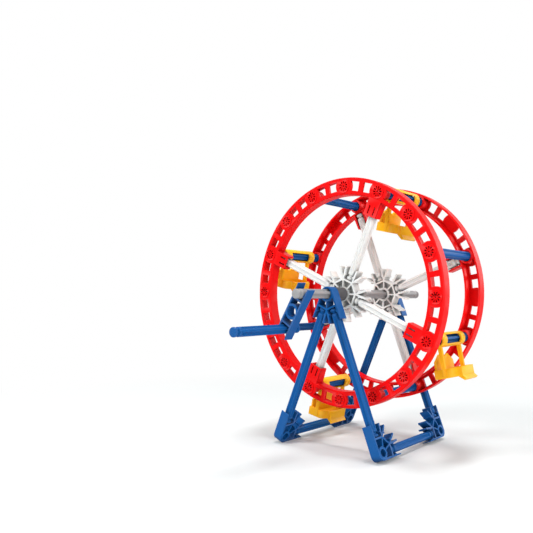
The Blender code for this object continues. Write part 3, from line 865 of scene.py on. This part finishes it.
# %% [markdown]
# ## Rosettes
#
# Each boss carries a small moulded rosette. It is a generic one here: ten petals and a round
# centre, sunk into the boss. They are real geometry, because a sunk petal is dark from most sides,
# while a bump would vanish when the rim is seen along its face.

# %% Rosette on one boss
BOSS_RADIUS = 0.0027
BOSS_STEPS = 32
PETALS = 10
PETAL_DEPTH = 0.00075
PETAL_START = 0.00055
PETAL_END = 0.00205
PETAL_HALF = 0.00033
PETAL_STEPS = 6
BUTTON = 0.00036
BUTTON_STEPS = 10


def petal(centre, turn):
    """A drop shape, narrow by the middle of the boss."""
    points = [(PETAL_START, 0)]
    for step in range(PETAL_STEPS + 1):
        angle = math.pi * (step / PETAL_STEPS - 0.5)
        points.append((PETAL_END - PETAL_HALF + PETAL_HALF * math.cos(angle),
                       PETAL_HALF * math.sin(angle)))
    flat = [at(out, turn, side) for out, side in points]
    return [(centre[0] + x, centre[1] + z) for x, z in flat]


def add_boss(mesh, angle, foot):
    centre = at(BOSS_CIRCLE, angle)
    top = row_at(mesh, circle(BOSS_RADIUS, BOSS_STEPS, centre), -BOSS_HEIGHT)
    wall(mesh, foot, top)
    sunk = [petal(centre, angle + math.tau * index / PETALS) for index in range(PETALS)]
    sunk.append(circle(BUTTON, BUTTON_STEPS, centre))
    mouths = [row_at(mesh, one, -BOSS_HEIGHT) for one in sunk]
    cap(mesh, top, *mouths)
    for mouth, one in zip(mouths, sunk):
        bottom = row_at(mesh, one, -BOSS_HEIGHT + PETAL_DEPTH)
        wall(mesh, mouth, bottom)
        cap(mesh, bottom)


print("Each boss has", PETALS, "petals, sunk by", round(1000 * PETAL_DEPTH, 2), "mm")

# %% [markdown]
# ## A bay
#
# A bay holds one boss, with a window on both sides of it. A window is square at the rung, where it
# meets the next bay's window, and hollowed round the boss. The front edges of the channel have a
# wide round, which is drawn as three rows of points and not left to the bevel.

# %% One bay of the channel
BAYS = 16
BAY_STEPS = 6
WEB = 0.0010
FLANGE = 0.0008
CHANNEL_TRIM = 0.0003
CHANNEL_DEPTH = RIM_DEPTH - CHANNEL_TRIM
WINDOW_HALF = 0.00185
WINDOW_STEPS = 6
WINDOW_FROM_BOSS = 0.0039
RUNG = 0.0021
FRONT_ROUND = 0.00045
# How far each row is cut in and set back, as shares of the round.
ROUND_PROFILE = ((1.0, 0.0), (0.394, 0.394), (0.0, 1.0))


def window_outline(boss_angle, side):
    """Square at the rung and hollowed round the boss."""
    turn = math.asin(WINDOW_HALF / WINDOW_FROM_BOSS)
    points = []
    for step in range(WINDOW_STEPS + 1):
        angle = turn - 2 * turn * step / WINDOW_STEPS
        points.append(at(BOSS_CIRCLE + WINDOW_FROM_BOSS * math.sin(angle), boss_angle,
                         side * WINDOW_FROM_BOSS * math.cos(angle)))
    far = boss_angle + side * (math.tau / BAYS - RUNG / BOSS_CIRCLE) / 2
    return points + [at(BOSS_CIRCLE - WINDOW_HALF, far), at(BOSS_CIRCLE + WINDOW_HALF, far)]


def front_edge(mesh, radius, inward, start, end):
    """Rows that round the edge between a rim's face and its side, from the face to the side."""
    rows = []
    for cut, back in ROUND_PROFILE:
        line = arc(radius - inward * cut * FRONT_ROUND, start, end, BAY_STEPS)
        rows.append(row_at(mesh, line, back * FRONT_ROUND))
    return rows


def add_bay(mesh, angle):
    half = math.pi / BAYS
    radii = (RIM_OUTER, RIM_OUTER - FLANGE, RIM_INNER + FLANGE, RIM_INNER)
    lines = [arc(radius, angle - half, angle + half, BAY_STEPS) for radius in radii]
    openings = [window_outline(angle, side) for side in (-1, 1)]
    foot = row_at(mesh, circle(BOSS_RADIUS, BOSS_STEPS, at(BOSS_CIRCLE, angle)), 0)
    mouths = [row_at(mesh, one, 0) for one in openings]
    outer_rows = front_edge(mesh, RIM_OUTER, 1, angle - half, angle + half)
    inner_rows = front_edge(mesh, RIM_INNER, -1, angle - half, angle + half)
    cap(mesh, outer_rows[0] + inner_rows[0][::-1], foot, *mouths)
    add_boss(mesh, angle, foot)
    floors = [row_at(mesh, one, WEB) for one in openings]
    cap(mesh, row_at(mesh, lines[1] + lines[2][::-1], WEB), *floors)
    for near, far in zip(mouths, floors):
        wall(mesh, near, far)
    edges = [row_at(mesh, line, CHANNEL_DEPTH) for line in lines]
    for rows, edge in ((outer_rows, edges[0]), (inner_rows, edges[3])):
        for near, far in zip(rows, rows[1:] + [edge]):
            wall(mesh, near, far, closed=False)
    wall(mesh, edges[0], edges[1], closed=False)
    wall(mesh, edges[1], row_at(mesh, lines[1], WEB), closed=False)
    wall(mesh, row_at(mesh, lines[2], WEB), edges[2], closed=False)
    wall(mesh, edges[2], edges[3], closed=False)


print("Each of the", 2 * BAYS, "windows is", round(2000 * WINDOW_HALF, 2), "mm across")

# %% [markdown]
# ## Sockets and stems
#
# Every other boss has a socket behind it for a cross rod. Every fourth one also has a stem, a
# three-sided block open towards the middle of the wheel, with two narrow slots in its face. Faces
# that would lie in one plane with the channel's are kept a few hundredths of a millimetre apart.

# %% Sockets and stems of a rim
HAIR = 0.00001
FLOOR_GAP = 2 * HAIR
FACE_GAP = 4 * HAIR
SIDE_GAP = 5 * HAIR
BORE = 0.0021
SOCKET_WALL = 0.0008
STEM_LENGTH = 0.0065
STEM_HALF = 0.00295
STEM_INNER_HALF = 0.0021
STEM_WEB = 0.0007
STEM_TAPER = 0.00095
STEM_BITE = 0.6
STEM_ROOT = RIM_INNER + FLANGE * STEM_BITE
STEM_TIP = RIM_INNER - STEM_LENGTH
STEM_SLOT = {"from_end": 0.00075, "length": 0.0032, "width": 0.0006, "spread": 0.00127}


def add_socket(mesh, angle):
    centre = at(BOSS_CIRCLE, angle)
    outer = circle(BORE + SOCKET_WALL, BOSS_STEPS, centre)
    inner = circle(BORE, BOSS_STEPS, centre)
    high = RIM_DEPTH - SIDE_GAP
    foot, rim_edge = row_at(mesh, outer, WEB / 2), row_at(mesh, outer, high)
    mouth, bottom = row_at(mesh, inner, high), row_at(mesh, inner, WEB + FLOOR_GAP)
    cap(mesh, foot)
    wall(mesh, foot, rim_edge)
    wall(mesh, rim_edge, mouth)
    wall(mesh, mouth, bottom)
    cap(mesh, bottom)


def add_stem_cheeks(mesh, angle):
    """The two cheeks of a stem. They are deep at the rim and thin towards the hub."""
    for side in (-1, 1):
        inside, outside = side * STEM_INNER_HALF, side * STEM_HALF
        outline = [at(STEM_TIP, angle, inside), at(STEM_TIP, angle, outside),
                   at(STEM_ROOT, angle, outside), at(STEM_ROOT, angle, inside)]
        near = row_at(mesh, outline, SIDE_GAP)
        far = row_at(mesh, outline, RIM_DEPTH - SIDE_GAP)
        for vertex in far[:2]:
            vertex.co.y -= STEM_TAPER
        cap(mesh, near)
        cap(mesh, far)
        wall(mesh, near, far)


def add_stem_face(mesh, angle):
    """The face between the cheeks, with its two narrow slots."""
    outline = [at(STEM_TIP, angle, -STEM_HALF), at(STEM_TIP, angle, STEM_HALF),
               at(STEM_ROOT, angle, STEM_HALF), at(STEM_ROOT, angle, -STEM_HALF)]
    start = STEM_TIP + STEM_SLOT["from_end"]
    stop = start + STEM_SLOT["length"]
    slots = []
    for side in (-1, 1):
        middle = side * STEM_SLOT["spread"]
        edges = [middle + half * STEM_SLOT["width"] / 2 for half in (-1, 1)]
        slots.append([at(start, angle, edges[0]), at(start, angle, edges[1]),
                      at(stop, angle, edges[1]), at(stop, angle, edges[0])])
    front, back = [[row_at(mesh, one, level) for one in (outline, *slots)]
                   for level in (FACE_GAP, STEM_WEB)]
    cap(mesh, *front)
    cap(mesh, *back)
    for near, far in zip(front, back):
        wall(mesh, near, far)


print("A stem reaches", round(1000 * STEM_LENGTH, 2), "mm inwards from the rim")

# %% [markdown]
# ## Two rims from one set of parts
#
# The channel, the sockets, the stems' faces and their cheeks are each one mesh. The rear rim is
# the front one turned to face the other way, so both use copies of the same four.

# %% Put the rims together
RIM_ROUND = 0.00016


def mesh_of(name, add, angles):
    mesh = bmesh.new()
    for angle in angles:
        add(mesh, angle)
    return finished(mesh, name)


bay = math.tau / BAYS
every_boss = [index * bay for index in range(BAYS)]
stem_angles = [bay + quarter * math.pi / 2 for quarter in range(4)]
rim_parts = {
    "channel": mesh_of("rim_channel", add_bay, every_boss),
    "sockets": mesh_of("rim_sockets", add_socket, every_boss[1::2]),
    "stem_faces": mesh_of("rim_stem_faces", add_stem_face, stem_angles),
    "stem_cheeks": mesh_of("rim_stem_cheeks", add_stem_cheeks, stem_angles),
}
for end, face_y, about_z in (("front", front_face_y, 0.0), ("rear", rear_face_y, math.pi)):
    node = "wheel_rim_" + end
    place = (Matrix.Translation((axle.x, face_y, axle.z)) @ Matrix.Rotation(wheel_turn, 4, "Y")
             @ Matrix.Rotation(about_z, 4, "Z"))
    for part, data in rim_parts.items():
        item = stand_in("%s_%s" % (node, part), data.copy(), node, place)
        round_edges(item, RIM_ROUND if part == "channel" else RIM_ROUND / 2, segments=3)
print("Each rim has", BAYS, "bays and", len(stem_angles), "stems")
